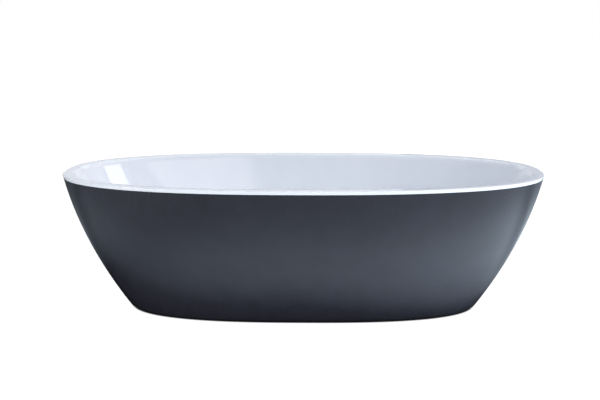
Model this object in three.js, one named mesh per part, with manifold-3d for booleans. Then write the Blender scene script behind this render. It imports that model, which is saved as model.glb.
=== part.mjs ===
// A freestanding double-skin bathtub, in millimetres, +Z up.
// The origin is on the floor under the centre of the tub: X runs along its length, Y across it.
// A white acrylic basin hangs by its rim on a dark acrylic skirt. Under the basin floor a bonded board sits on
// three steel crossbars with six levelling feet. The waste has a push-to-open plug and a low trap, and the
// overflow in the front wall drains through a hose to the trap.
import * as THREE from "three";
import { mergeVertices } from "three/addons/utils/BufferGeometryUtils.js";
import Module from "manifold-3d";

const wasm = await Module();
wasm.setup();

// ---- Driving dimensions ----
const LENGTH = 1800;
const WIDTH = 850;
const HEIGHT = 516; // floor to rim top, with the feet at their rest height
const BASE_LENGTH = 1326;
const BASE_WIDTH = 544;
const RIM_OVALNESS = 2.43; // exponent of the oval: 2 is an ellipse, more is squarer
const BASE_OVALNESS = 2.65;
const WALL_BULGE = 0.51; // how far the skirt swells past a straight taper
const SKIRT_OFF_FLOOR = 3;
const RIM_WIDTH = 40;
const LIP_DEPTH = 12; // how far the white rim turns down outside
const GAP = 0.3; // between pieces that touch

const FLOOR_LENGTH = 960; // the flat of the basin floor
const FLOOR_WIDTH = 340;
const FLOOR_TOP = 108;
const FLOOR_THICKNESS = 8;
const WALL_THICKNESS = 5;
const BASIN_CURVE = 2.2; // exponent of the basin wall's rise from the floor

const BOARD_THICKNESS = 18;
const CROSSBAR_X = { left: -430, middle: 130, right: 430 };
const CROSSBAR_LENGTH = 390;
const CROSSBAR_WIDTH = 30;
const CROSSBAR_HEIGHT = 20;
const CROSSBAR_WALL = 1.5;
const FOOT_Y = { front: -165, rear: 165 };
const SCREW_Y = { front: -110, rear: 110 };
const STUD_RADIUS = 6; // M12
const THREAD_CLEARANCE = 0.45;

const OVERFLOW_HEIGHT = 445;
const OUTLET_HEIGHT = 58;
const HOSE_INLET_HEIGHT = 60;

// ---- Facets round a circle ----
const SHELL_SEGMENTS = 52;
const WIDE_ROUND = 24;
const ROUND = 20;
const SMALL_ROUND = 12;

// ---- Derived levels ----
const RIM_UNDERSIDE = HEIGHT - 6;
const LIP_BOTTOM = HEIGHT - LIP_DEPTH;
const FLOOR_UNDERSIDE = FLOOR_TOP - FLOOR_THICKNESS;
const BOARD_TOP = FLOOR_UNDERSIDE - GAP;
const CROSSBAR_TOP = BOARD_TOP - BOARD_THICKNESS - GAP;
const CROSSBAR_BOTTOM = CROSSBAR_TOP - CROSSBAR_HEIGHT;

// ---- Finishes ----
const finish = (color, roughness, metalness) =>
  new THREE.MeshStandardMaterial({ color, roughness, metalness });
const WHITE_ACRYLIC = finish(0xeef2f8, 0.12, 0);
const ANTHRACITE_ACRYLIC = finish(0x3b3f4a, 0.35, 0);
const BOARD = finish(0xb9a27c, 0.8, 0);
const ZINC_STEEL = finish(0x9fa4a8, 0.45, 0.9);
const CHROME = finish(0xd8dadd, 0.08, 1);
const BLACK_RUBBER = finish(0x1c1c1e, 0.85, 0);
const WHITE_PLASTIC = finish(0xe4e5e3, 0.45, 0);
const GREY_PLASTIC = finish(0x8c9094, 0.5, 0);

// ---- Solids ----
function solidOf(geometry) {
  const plain = geometry.clone();
  plain.deleteAttribute("normal");
  plain.deleteAttribute("uv");
  const merged = mergeVertices(plain, 1e-3);
  return new wasm.Manifold(
    new wasm.Mesh({
      numProp: 3,
      vertProperties: new Float32Array(merged.attributes.position.array),
      triVerts: new Uint32Array(merged.index.array),
    }),
  );
}

function geometryOf(solid) {
  const mesh = solid.getMesh();
  const geometry = new THREE.BufferGeometry();
  geometry.setAttribute("position", new THREE.BufferAttribute(mesh.vertProperties, 3));
  geometry.setIndex(new THREE.BufferAttribute(mesh.triVerts, 1));
  return geometry;
}

// A base geometry with the geometries in added joined to it, and then those in removed cut out.
function carved(base, { added = [], removed = [] }) {
  let solid = solidOf(base);
  for (const piece of added) solid = solid.add(solidOf(piece));
  for (const piece of removed) solid = solid.subtract(solidOf(piece));
  return geometryOf(solid);
}

// A round piece about Z from a profile of [radius, height] points, going up the outside.
function turned(profile, segments = ROUND) {
  const points = profile.map(([radius, height]) => new THREE.Vector2(radius, height));
  return new THREE.LatheGeometry(points, segments).rotateX(Math.PI / 2);
}

// A closed ring or bush about Z.
function ring(inner, outer, bottom, top, segments = ROUND) {
  return turned(
    [[inner, bottom], [outer, bottom], [outer, top], [inner, top], [inner, bottom]],
    segments,
  );
}

// A solid round bar about Z.
function bar(radius, bottom, top, segments = ROUND) {
  return turned([[0, bottom], [radius, bottom], [radius, top], [0, top]], segments);
}

function block(width, depth, height, x, y, z) {
  return new THREE.BoxGeometry(width, depth, height).translate(x, y, z);
}

// A hexagonal prism about Z, given across its flats.
function hexagon(acrossFlats, bottom, top) {
  return bar(acrossFlats / Math.sqrt(3), bottom, top, 6);
}

// ---- The oval shells ----
// The skirt's outer face at a height: its half length, half width and ovalness.
function outerOval(z) {
  const rise = (z - SKIRT_OFF_FLOOR) / (HEIGHT - SKIRT_OFF_FLOOR);
  const spread = rise * (1 + WALL_BULGE) - WALL_BULGE * rise * rise;
  return {
    a: (BASE_LENGTH + (LENGTH - BASE_LENGTH) * spread) / 2,
    b: (BASE_WIDTH + (WIDTH - BASE_WIDTH) * spread) / 2,
    n: BASE_OVALNESS + (RIM_OVALNESS - BASE_OVALNESS) * rise,
    z,
  };
}

// The basin's inner face: share 0 is the edge of the flat floor and 1 the inner edge of the rim.
function innerOval(share) {
  return {
    a: FLOOR_LENGTH / 2 + (LENGTH / 2 - RIM_WIDTH - FLOOR_LENGTH / 2) * share,
    b: FLOOR_WIDTH / 2 + (WIDTH / 2 - RIM_WIDTH - FLOOR_WIDTH / 2) * share,
    n: RIM_OVALNESS,
    z: FLOOR_TOP + (HEIGHT - FLOOR_TOP) * share ** BASIN_CURVE,
  };
}

const shareAtHeight = (z) => ((z - FLOOR_TOP) / (HEIGHT - FLOOR_TOP)) ** (1 / BASIN_CURVE);
const grown = (oval, by, z = oval.z) => ({ ...oval, a: oval.a + by, b: oval.b + by, z });
const circle = (radius, z) => ({ a: radius, b: radius, n: 2, z });

// A closed shell through a stack of ovals, in order up the outside and down the inside.
function ovalShell(ovals, segments) {
  const profile = ovals.map(({ a, z }) => new THREE.Vector2(a, z));
  const geometry = new THREE.LatheGeometry(profile, segments);
  const position = geometry.attributes.position;
  for (let i = 0; i < position.count; i++) {
    const { a, b, n, z } = ovals[i % ovals.length];
    const turn = ((Math.floor(i / ovals.length) % segments) / segments) * 2 * Math.PI;
    const along = Math.cos(turn);
    const across = Math.sin(turn);
    const swell = (Math.abs(along) ** n + Math.abs(across) ** n) ** (-1 / n);
    position.setXYZ(i, a * along * swell, b * across * swell, z);
  }
  return geometry;
}

const steps = (count) => Array.from({ length: count + 1 }, (_, i) => i / count);

const RECESS_RADIUS = 38; // round the waste flange
const RECESS_TOP = FLOOR_TOP - 7;
const RECESS_UNDERSIDE = FLOOR_UNDERSIDE - 5;
const DRAIN_HOLE_RADIUS = 25;

// The overflow stands square to the front wall: its group's +Z points into the tub and its +Y up the wall.
const OVERFLOW_LEAN = 14.9; // degrees that the wall leans out there
const OVERFLOW_HOLE_RADIUS = 26;
const FACET_ALLOWANCE = 1.2; // the facets of the wall stand this much inside its true curve

function overflowFrame() {
  const frame = new THREE.Group();
  const wall = innerOval(shareAtHeight(OVERFLOW_HEIGHT));
  frame.position.set(0, FACET_ALLOWANCE - wall.b, OVERFLOW_HEIGHT);
  const lean = THREE.MathUtils.degToRad(OVERFLOW_LEAN);
  const inward = new THREE.Vector3(0, Math.cos(lean), Math.sin(lean));
  const upward = new THREE.Vector3(0, -Math.sin(lean), Math.cos(lean));
  const side = new THREE.Vector3().crossVectors(upward, inward);
  frame.quaternion.setFromRotationMatrix(new THREE.Matrix4().makeBasis(side, upward, inward));
  frame.updateMatrixWorld(true);
  return frame;
}

function basin() {
  const wallOutside = steps(6).map((step) => {
    const share = shareAtHeight(RIM_UNDERSIDE + FLOOR_THICKNESS / 2) * step;
    const inside = innerOval(share);
    const drop = FLOOR_THICKNESS * (1 - step) + (FLOOR_THICKNESS / 2) * step;
    return grown(inside, WALL_THICKNESS * step, inside.z - drop);
  });
  const wallInside = steps(8).map((step) => innerOval(shareAtHeight(HEIGHT - 5) * (1 - step)));
  const ovals = [
    circle(0, RECESS_UNDERSIDE),
    circle(RECESS_RADIUS + 8, RECESS_UNDERSIDE),
    circle(RECESS_RADIUS + 14, FLOOR_UNDERSIDE),
    ...wallOutside,
    grown(outerOval(RIM_UNDERSIDE), -6),
    grown(outerOval(LIP_BOTTOM), -5),
    outerOval(LIP_BOTTOM),
    grown(outerOval(HEIGHT), 0, HEIGHT - 4),
    grown(outerOval(HEIGHT), -1.2, HEIGHT - 1.2),
    grown(outerOval(HEIGHT), -4),
    grown(innerOval(1), 4, HEIGHT),
    grown(innerOval(1), 0.8, HEIGHT - 1.2),
    ...wallInside,
    { a: 200, b: 110, n: 2.2, z: FLOOR_TOP - 1.6 },
    circle(RECESS_RADIUS + 4, FLOOR_TOP - 3),
    circle(RECESS_RADIUS, RECESS_TOP),
    circle(0, RECESS_TOP),
  ];
  const overflowHole = bar(OVERFLOW_HOLE_RADIUS, -20, 20);
  return carved(ovalShell(ovals, SHELL_SEGMENTS), {
    removed: [
      bar(DRAIN_HOLE_RADIUS, RECESS_UNDERSIDE - 5, RECESS_TOP + 5),
      overflowHole.applyMatrix4(overflowFrame().matrixWorld),
    ],
  });
}

const SKIRT_THICKNESS = 5;
const FOOT_ROUNDING = 12; // radius of the skirt's bottom edge
const RETURN_FLANGE = 15; // how far the skirt's bottom edge turns in past its rounding

function skirt() {
  const top = LIP_BOTTOM - GAP;
  const foot = outerOval(SKIRT_OFF_FLOOR);
  const roundedFoot = steps(2).map((step) => {
    const turn = (step * Math.PI) / 2;
    const height = SKIRT_OFF_FLOOR + FOOT_ROUNDING * (1 - Math.cos(turn));
    return grown(outerOval(height), FOOT_ROUNDING * (Math.sin(turn) - 1));
  });
  const wallBottom = SKIRT_OFF_FLOOR + FOOT_ROUNDING;
  const tongueBottom = LIP_BOTTOM - 12;
  const heights = (low, high, count) => steps(count).map((step) => low + (high - low) * step);
  const inside = heights(wallBottom + 2, tongueBottom - 6, 6).reverse();
  const flangeEdge = -FOOT_ROUNDING - RETURN_FLANGE;
  const ovals = [
    ...roundedFoot,
    ...heights(wallBottom, top, 7).slice(1).map((z) => outerOval(z)),
    grown(outerOval(top), -5.7),
    grown(outerOval(RIM_UNDERSIDE - GAP), -6.6),
    grown(outerOval(RIM_UNDERSIDE - GAP), -10.6),
    grown(outerOval(tongueBottom), -9.7),
    ...inside.map((z) => grown(outerOval(z), -SKIRT_THICKNESS)),
    grown(foot, -FOOT_ROUNDING - 2, SKIRT_OFF_FLOOR + SKIRT_THICKNESS),
    grown(foot, flangeEdge, SKIRT_OFF_FLOOR + SKIRT_THICKNESS),
    grown(foot, flangeEdge, SKIRT_OFF_FLOOR),
    roundedFoot[0],
  ];
  return ovalShell(ovals, SHELL_SEGMENTS);
}

// ---- Board, crossbars and screws ----
const SCREW_HOLE_RADIUS = 2.8;
const BOARD_DRAIN_RADIUS = 60;

function screwPlaces() {
  return Object.values(CROSSBAR_X).flatMap((x) => Object.values(SCREW_Y).map((y) => [x, y]));
}

function baseBoard() {
  const halfLength = FLOOR_LENGTH / 2 - 12;
  const halfWidth = FLOOR_WIDTH / 2 - 10;
  const corner = 60;
  const outline = new THREE.Shape();
  outline.moveTo(halfLength - corner, -halfWidth);
  outline.absarc(halfLength - corner, corner - halfWidth, corner, -Math.PI / 2, 0);
  outline.absarc(halfLength - corner, halfWidth - corner, corner, 0, Math.PI / 2);
  outline.absarc(corner - halfLength, halfWidth - corner, corner, Math.PI / 2, Math.PI);
  outline.absarc(corner - halfLength, corner - halfWidth, corner, Math.PI, Math.PI * 1.5);
  const plate = new THREE.ExtrudeGeometry(outline, {
    depth: BOARD_THICKNESS,
    bevelEnabled: false,
    curveSegments: 4,
  }).translate(0, 0, BOARD_TOP - BOARD_THICKNESS);
  const holes = screwPlaces().map(([x, y]) =>
    bar(SCREW_HOLE_RADIUS, BOARD_TOP - BOARD_THICKNESS - 5, BOARD_TOP - 3, 8).translate(x, y, 0),
  );
  holes.push(bar(BOARD_DRAIN_RADIUS, BOARD_TOP - BOARD_THICKNESS - 5, BOARD_TOP + 5));
  return carved(plate, { removed: holes });
}

function crossbar(x) {
  const middle = CROSSBAR_BOTTOM + CROSSBAR_HEIGHT / 2;
  const tube = block(CROSSBAR_WIDTH, CROSSBAR_LENGTH, CROSSBAR_HEIGHT, 0, 0, middle);
  const hollow = block(
    CROSSBAR_WIDTH - 2 * CROSSBAR_WALL,
    CROSSBAR_LENGTH + 10,
    CROSSBAR_HEIGHT - 2 * CROSSBAR_WALL,
    0,
    0,
    middle,
  );
  const studHoles = Object.values(FOOT_Y).map((y) =>
    bar(STUD_RADIUS + 0.6, CROSSBAR_BOTTOM - 5, middle, SMALL_ROUND).translate(0, y, 0),
  );
  const screwHoles = Object.values(SCREW_Y).map((y) =>
    bar(SCREW_HOLE_RADIUS, CROSSBAR_BOTTOM - 5, CROSSBAR_TOP + 5, 8).translate(0, y, 0),
  );
  return carved(tube, { removed: [hollow, ...studHoles, ...screwHoles] }).translate(x, 0, 0);
}

function boardScrew() {
  const headTop = CROSSBAR_BOTTOM - GAP;
  const shank = bar(2.4, headTop - 1, BOARD_TOP - 5, 8);
  return carved(hexagon(8, headTop - 3.5, headTop), { added: [shank] });
}

// ---- Levelling feet ----
const WELD_NUT_HEIGHT = 10;
const LOCK_NUT_HEIGHT = 6;
const NUT_FLATS = 19;

function nut(top, height) {
  return carved(hexagon(NUT_FLATS, top - height, top), {
    removed: [bar(STUD_RADIUS + THREAD_CLEARANCE, top - height - 2, top + 2, SMALL_ROUND)],
  });
}

function stud() {
  return turned(
    [[0, 5.3], [4, 5.3], [STUD_RADIUS, 7.3], [STUD_RADIUS, 75], [5, 76], [0, 76]],
    SMALL_ROUND,
  );
}

function studWithFlats() {
  return carved(stud(), { added: [hexagon(17, 15, 21)] });
}

function footPad() {
  return turned(
    [
      [0, 0], [22, 0], [22, 6], [12, 14], [STUD_RADIUS + 0.4, 14], [STUD_RADIUS + 0.4, 7.2],
      [4.2, 5], [0, 5],
    ],
    16,
  );
}

// ---- Waste, plug and trap ----
const THROAT_RADIUS = 20;
const TAIL_RADIUS = 23.5;
const FLANGE_UNDERSIDE = RECESS_TOP + GAP + 1.2 + GAP;
const FLANGE_TOP = FLANGE_UNDERSIDE + 2.7;
const SEAT_HEIGHT = FLANGE_TOP - 2;
const TAIL_BOTTOM = 80.5;
const HUB_BOTTOM = 84;
const HUB_TOP = 90;
const STEM_RADIUS = 4;

function wasteFlange() {
  const body = turned(
    [
      [THROAT_RADIUS, TAIL_BOTTOM], [TAIL_RADIUS, TAIL_BOTTOM], [TAIL_RADIUS, FLANGE_UNDERSIDE],
      [34.4, FLANGE_UNDERSIDE], [35, FLANGE_TOP - 1], [33.5, FLANGE_TOP], [27, FLANGE_TOP],
      [26.5, SEAT_HEIGHT], [THROAT_RADIUS, SEAT_HEIGHT], [THROAT_RADIUS, TAIL_BOTTOM],
    ],
    WIDE_ROUND,
  );
  const middle = (HUB_BOTTOM + HUB_TOP) / 2;
  const arms = [0, 1].map((turn) =>
    block(2 * THROAT_RADIUS + 3, 3, HUB_TOP - HUB_BOTTOM, 0, 0, middle).rotateZ((turn * Math.PI) / 2),
  );
  const hub = bar(8, HUB_BOTTOM, HUB_TOP, SMALL_ROUND);
  const socket = bar(STEM_RADIUS + 0.4, HUB_BOTTOM - 2, HUB_TOP + 2, SMALL_ROUND);
  return carved(body, { added: [...arms, hub], removed: [socket] });
}

function plugCap() {
  const underside = FLANGE_TOP + GAP;
  return turned(
    [
      [STEM_RADIUS + GAP, underside - 5], [7, underside - 5], [7, underside], [31, underside],
      [32, underside + 1], [31.5, underside + 2.4], [24, underside + 4], [12, underside + 5.2],
      [0, underside + 5.6], [0, underside - 1], [STEM_RADIUS + GAP, underside - 1],
      [STEM_RADIUS + GAP, underside - 5],
    ],
    WIDE_ROUND,
  );
}

const plugSeal = () => ring(21, 26, SEAT_HEIGHT + GAP, FLANGE_TOP, WIDE_ROUND);
const plugStem = () => bar(STEM_RADIUS, HUB_BOTTOM - 2, FLANGE_TOP - 1.2, SMALL_ROUND);

const BOWL_RADIUS = 40;
const BOWL_BOTTOM = 11;
const BODY_TOP = RECESS_UNDERSIDE - GAP - 2.5 - GAP;
const LEDGE_HEIGHT = 77.7;
const DIP_TUBE_RADIUS = 22;
const HOSE_SPIGOT = { outer: 8.7, inner: 7 };
const HOSE_RADIUS = 11;

// A round bar along +Y from one Y to another at a height.
function barAlongY(radius, from, to, z, segments = SMALL_ROUND) {
  return bar(radius, from, to, segments).rotateX(-Math.PI / 2).translate(0, 0, z);
}

function trapBody() {
  const inner = TAIL_RADIUS + 0.4;
  const bowl = turned(
    [
      [0, BOWL_BOTTOM], [35, BOWL_BOTTOM], [BOWL_RADIUS, 16], [BOWL_RADIUS, 80], [30, 83],
      [30, 86], [38, 86], [38, BODY_TOP], [inner, BODY_TOP], [inner, LEDGE_HEIGHT],
      [22.4, LEDGE_HEIGHT], [22.4, 75], [36, 75], [36, 18], [32, 14], [0, 14],
    ],
    WIDE_ROUND,
  );
  const shellHalf = BOWL_RADIUS - 2;
  return carved(bowl, {
    added: [
      barAlongY(16.5, shellHalf, 88, OUTLET_HEIGHT, ROUND),
      barAlongY(HOSE_SPIGOT.outer, -72, -DIP_TUBE_RADIUS - 1, HOSE_INLET_HEIGHT),
    ],
    removed: [
      barAlongY(14, shellHalf - 8, 95, OUTLET_HEIGHT, ROUND),
      barAlongY(HOSE_SPIGOT.inner, -80, -DIP_TUBE_RADIUS, HOSE_INLET_HEIGHT),
    ],
  });
}

function dipTube() {
  const tube = turned(
    [
      [19.5, 20], [DIP_TUBE_RADIUS, 20], [DIP_TUBE_RADIUS, LEDGE_HEIGHT + GAP],
      [23.5, LEDGE_HEIGHT + GAP], [23.5, TAIL_BOTTOM - GAP], [19.5, TAIL_BOTTOM - GAP], [19.5, 20],
    ],
    WIDE_ROUND,
  );
  return carved(tube, {
    removed: [barAlongY(HOSE_SPIGOT.inner, -40, -10, HOSE_INLET_HEIGHT)],
  });
}

function outletNut() {
  const nutBody = ring(17, 22, 78, 98);
  const mouth = ring(14.4, 22, 97, 100);
  return carved(nutBody, { added: [mouth] })
    .rotateX(-Math.PI / 2)
    .translate(0, 0, OUTLET_HEIGHT);
}

function outletSeal() {
  return ring(14.4, 16.4, 88.4, 96.6).rotateX(-Math.PI / 2).translate(0, 0, OUTLET_HEIGHT);
}

// ---- Overflow, in its own frame: +Z into the tub, 0 on the wall's inner face ----
const WALL_BACK = -8;
const SEAL_THICKNESS = 2.5;
const ELBOW_FACE = WALL_BACK - SEAL_THICKNESS - GAP;
const ELBOW_DEPTH = 22;
const SPIGOT_DEPTH = ELBOW_FACE - 12;
const SPIGOT_END = -58;
const HOSE_START = -42;

function overflowCover() {
  const shell = turned(
    [
      [31, 0.7], [34, 0.7], [34, 6], [31, 9], [0, 10], [0, 7.6], [30, 6.6], [31, 5], [31, 0.7],
    ],
    WIDE_ROUND,
  );
  const slot = block(34, 12, 4.6, 0, -33, 2.3);
  return carved(shell, { removed: [bar(3.4, 5, 15, SMALL_ROUND), slot] });
}

function overflowScrew() {
  return turned([[0, ELBOW_FACE - 7], [3, ELBOW_FACE - 7], [3, 10.3], [6, 10.3], [5.4, 12.4], [0, 13]], SMALL_ROUND);
}

const overflowSeal = () => ring(24, 33, WALL_BACK - SEAL_THICKNESS, WALL_BACK);

function overflowElbow() {
  const back = ELBOW_FACE - ELBOW_DEPTH;
  const cup = turned(
    [
      [0, back], [25, back], [27, back + 3], [27, ELBOW_FACE - 3], [34, ELBOW_FACE - 3],
      [34, ELBOW_FACE], [24, ELBOW_FACE], [24, back + 5], [22, back + 3], [0, back + 3],
    ],
    ROUND,
  );
  const spigot = bar(HOSE_SPIGOT.outer, 25, -SPIGOT_END, SMALL_ROUND)
    .rotateX(Math.PI / 2)
    .translate(0, 0, SPIGOT_DEPTH);
  const passage = bar(HOSE_SPIGOT.inner, 15, -SPIGOT_END + 5, SMALL_ROUND)
    .rotateX(Math.PI / 2)
    .translate(0, 0, SPIGOT_DEPTH);
  const bridge = block(49, 10, 6, 0, 0, ELBOW_FACE - 5);
  return carved(cup, {
    added: [spigot, bridge],
    removed: [passage, bar(3.4, ELBOW_FACE - 12, ELBOW_FACE, SMALL_ROUND)],
  });
}

// ---- Overflow hose, from the elbow's spigot down the gap between the shells to the trap ----
function hoseRoute(frame) {
  const start = frame.localToWorld(new THREE.Vector3(0, HOSE_START, SPIGOT_DEPTH));
  const leaving = frame.localToWorld(new THREE.Vector3(0, HOSE_START - 32, SPIGOT_DEPTH));
  const route = [
    start,
    leaving,
    new THREE.Vector3(0, -347, 290),
    new THREE.Vector3(0, -320, 210),
    new THREE.Vector3(0, -283, 140),
    new THREE.Vector3(0, -216, 84),
    new THREE.Vector3(0, -140, 62),
    new THREE.Vector3(0, -90, HOSE_INLET_HEIGHT),
    new THREE.Vector3(0, -46, HOSE_INLET_HEIGHT),
  ];
  return new THREE.CatmullRomCurve3(route, false, "centripetal");
}

function hose(frame) {
  const section = new THREE.Shape().absarc(0, 0, HOSE_RADIUS, 0, 2 * Math.PI);
  section.holes.push(new THREE.Path().absarc(0, 0, HOSE_SPIGOT.outer + GAP, 0, 2 * Math.PI, true));
  return new THREE.ExtrudeGeometry(section, {
    steps: 18,
    curveSegments: SMALL_ROUND / 2,
    extrudePath: hoseRoute(frame),
  });
}

const hoseClip = (bottom) => ring(HOSE_RADIUS + 0.5, HOSE_RADIUS + 2.2, bottom, bottom + 9);

// ---- Assembly ----
const tub = new THREE.Group();
tub.name = "bathtub";

function place(name, geometry, material, parent = tub) {
  const mesh = new THREE.Mesh(geometry, material);
  mesh.name = name;
  parent.add(mesh);
  return mesh;
}

place("basin", basin(), WHITE_ACRYLIC);
place("skirt", skirt(), ANTHRACITE_ACRYLIC);
place("base_board", baseBoard(), BOARD);

for (const [side, x] of Object.entries(CROSSBAR_X)) {
  place(`crossbar_${side}`, crossbar(x), ZINC_STEEL);
  for (const [end, y] of Object.entries(SCREW_Y)) {
    place(`board_screw_${side}_${end}`, boardScrew(), ZINC_STEEL).position.set(x, y, 0);
  }
  for (const [end, y] of Object.entries(FOOT_Y)) {
    const foot = new THREE.Group();
    foot.position.set(x, y, 0);
    tub.add(foot);
    const weldNutTop = CROSSBAR_BOTTOM - GAP;
    const lockNutTop = weldNutTop - WELD_NUT_HEIGHT - GAP;
    place(`weld_nut_${side}_${end}`, nut(weldNutTop, WELD_NUT_HEIGHT), ZINC_STEEL, foot);
    place(`lock_nut_${side}_${end}`, nut(lockNutTop, LOCK_NUT_HEIGHT), ZINC_STEEL, foot);
    place(`foot_stud_${side}_${end}`, studWithFlats(), ZINC_STEEL, foot);
    place(`foot_pad_${side}_${end}`, footPad(), BLACK_RUBBER, foot);
  }
}

place("waste_flange", wasteFlange(), CHROME);
place("waste_upper_seal", ring(24.2, 34, RECESS_TOP + GAP, FLANGE_UNDERSIDE - GAP), BLACK_RUBBER);
place("waste_lower_seal", ring(24.2, 37, BODY_TOP + GAP, RECESS_UNDERSIDE - GAP), BLACK_RUBBER);
place("plug_cap", plugCap(), CHROME);
place("plug_seal", plugSeal(), BLACK_RUBBER);
place("plug_stem", plugStem(), CHROME);
place("trap_body", trapBody(), WHITE_PLASTIC);
place("trap_dip_tube", dipTube(), GREY_PLASTIC);
place("outlet_nut", outletNut(), WHITE_PLASTIC);
place("outlet_seal", outletSeal(), BLACK_RUBBER);

const overflow = overflowFrame();
tub.add(overflow);
place("overflow_cover", overflowCover(), CHROME, overflow);
place("overflow_screw", overflowScrew(), CHROME, overflow);
place("overflow_seal", overflowSeal(), BLACK_RUBBER, overflow);
place("overflow_elbow", overflowElbow(), WHITE_PLASTIC, overflow);
const upperClip = place("hose_clip_upper", hoseClip(47).rotateX(Math.PI / 2), ZINC_STEEL, overflow);
upperClip.position.z = SPIGOT_DEPTH;

place("overflow_hose", hose(overflow), GREY_PLASTIC);
const lowerClip = place("hose_clip_lower", hoseClip(54).rotateX(Math.PI / 2), ZINC_STEEL);
lowerClip.position.z = HOSE_INLET_HEIGHT;

export default tub;
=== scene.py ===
"""Looks of a freestanding double-skin bathtub.

A gloss white acrylic basin hangs in a satin anthracite skirt, with the board, crossbars, levelling feet,
waste, trap and overflow under it. Lengths are in millimetres until a mesh is finished, when it is scaled to
metres. Z is up, X runs along the tub and +Y is its rear.
"""

import bisect
import math

import bmesh
import bpy
from mathutils import Matrix, Vector
from mathutils.geometry import interpolate_bezier


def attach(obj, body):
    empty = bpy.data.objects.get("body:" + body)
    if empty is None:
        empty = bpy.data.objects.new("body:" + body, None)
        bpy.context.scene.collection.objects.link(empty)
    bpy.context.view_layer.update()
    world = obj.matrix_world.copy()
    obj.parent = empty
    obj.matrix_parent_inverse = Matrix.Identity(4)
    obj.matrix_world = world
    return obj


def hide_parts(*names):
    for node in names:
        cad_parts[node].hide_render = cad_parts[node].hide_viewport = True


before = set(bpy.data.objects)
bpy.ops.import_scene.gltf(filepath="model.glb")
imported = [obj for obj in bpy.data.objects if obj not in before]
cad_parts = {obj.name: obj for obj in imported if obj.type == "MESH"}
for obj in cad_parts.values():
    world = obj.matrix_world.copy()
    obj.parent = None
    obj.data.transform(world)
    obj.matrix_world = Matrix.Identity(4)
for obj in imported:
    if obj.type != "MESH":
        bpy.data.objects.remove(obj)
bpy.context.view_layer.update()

MM = 0.001

# ---- Driving dimensions, as the frame has them ----
LENGTH, WIDTH, HEIGHT = 1800, 850, 516
BASE_LENGTH, BASE_WIDTH = 1326, 544
RIM_OVALNESS, BASE_OVALNESS = 2.43, 2.65
WALL_BULGE = 0.51
SKIRT_OFF_FLOOR = 3
RIM_WIDTH = 40
LIP_DEPTH = 12
GAP = 0.3

FLOOR_LENGTH, FLOOR_WIDTH, FLOOR_TOP = 960, 340, 108
FLOOR_THICKNESS, WALL_THICKNESS = 8, 5
BASIN_CURVE = 2.2

CROSSBAR_X = {"left": -430, "middle": 130, "right": 430}
FOOT_Y = {"front": -165, "rear": 165}
SCREW_Y = {"front": -110, "rear": 110}
CROSSBAR_LENGTH, CROSSBAR_WIDTH, CROSSBAR_HEIGHT = 390, 30, 20
BOARD_THICKNESS = 18
STUD_RADIUS, THREAD_PITCH = 6, 1.75

RIM_UNDERSIDE = HEIGHT - 6
LIP_BOTTOM = HEIGHT - LIP_DEPTH
FLOOR_UNDERSIDE = FLOOR_TOP - FLOOR_THICKNESS
RECESS_TOP, RECESS_UNDERSIDE = FLOOR_TOP - 7, FLOOR_UNDERSIDE - 5
BOARD_TOP = FLOOR_UNDERSIDE - GAP
CROSSBAR_TOP = BOARD_TOP - BOARD_THICKNESS - GAP
CROSSBAR_BOTTOM = CROSSBAR_TOP - CROSSBAR_HEIGHT

SHELL_SEGMENTS = 256


# ---- Materials ----
def linear(hex_colour):
    """A colour for a shader from an sRGB hex value."""
    channels = [int(hex_colour[i : i + 2], 16) / 255 for i in (1, 3, 5)]
    return tuple(c / 12.92 if c <= 0.04045 else ((c + 0.055) / 1.055) ** 2.4 for c in channels) + (1.0,)


def add(tree, kind, inputs=(), **settings):
    """Adds a node with its settings; inputs gives each socket a value or another node's output."""
    made = tree.nodes.new(kind)
    for name, value in settings.items():
        setattr(made, name, value)
    for name, value in dict(inputs).items():
        if isinstance(value, bpy.types.NodeSocket):
            tree.links.new(value, made.inputs[name])
        else:
            made.inputs[name].default_value = value
    return made


def surface(name, **shader_values):
    """A material with a Principled shader; gives the tree, the shader and the piece's own coordinates."""
    material = bpy.data.materials.new(name)
    material.use_nodes = True
    tree = material.node_tree
    shader = tree.nodes["Principled BSDF"]
    for socket, value in shader_values.items():
        shader.inputs[socket.replace("_", " ")].default_value = value
    place = add(tree, "ShaderNodeTexCoord").outputs["Object"]
    return material, tree, shader, place


def sized(place, size_mm, **others):
    """A texture's inputs, for features about size_mm across."""
    return {"Vector": place, "Scale": 1 / (size_mm * MM), **others}


def mottle(tree, shader, pattern, dark, light, low=0.35, high=0.65):
    """Colours the shader between two hex colours by a pattern."""
    share = add(tree, "ShaderNodeMapRange", {"Value": pattern, "From Min": low, "From Max": high})
    ends = {"Factor": share.outputs["Result"], "A": linear(dark), "B": linear(light)}
    mix = add(tree, "ShaderNodeMix", ends, data_type="RGBA")
    tree.links.new(mix.outputs["Result"], shader.inputs["Base Color"])


def worn(tree, shader, pattern, smoothest, roughest):
    """Lets the shader's roughness follow a pattern."""
    wear = add(tree, "ShaderNodeMapRange", {"Value": pattern, "To Min": smoothest, "To Max": roughest})
    tree.links.new(wear.outputs["Result"], shader.inputs["Roughness"])


def bumped(tree, shader, pattern, strength, depth_mm):
    """Raises a pattern from the surface."""
    bump = add(tree, "ShaderNodeBump", {"Height": pattern, "Strength": strength, "Distance": depth_mm * MM})
    tree.links.new(bump.outputs["Normal"], shader.inputs["Normal"])


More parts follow.
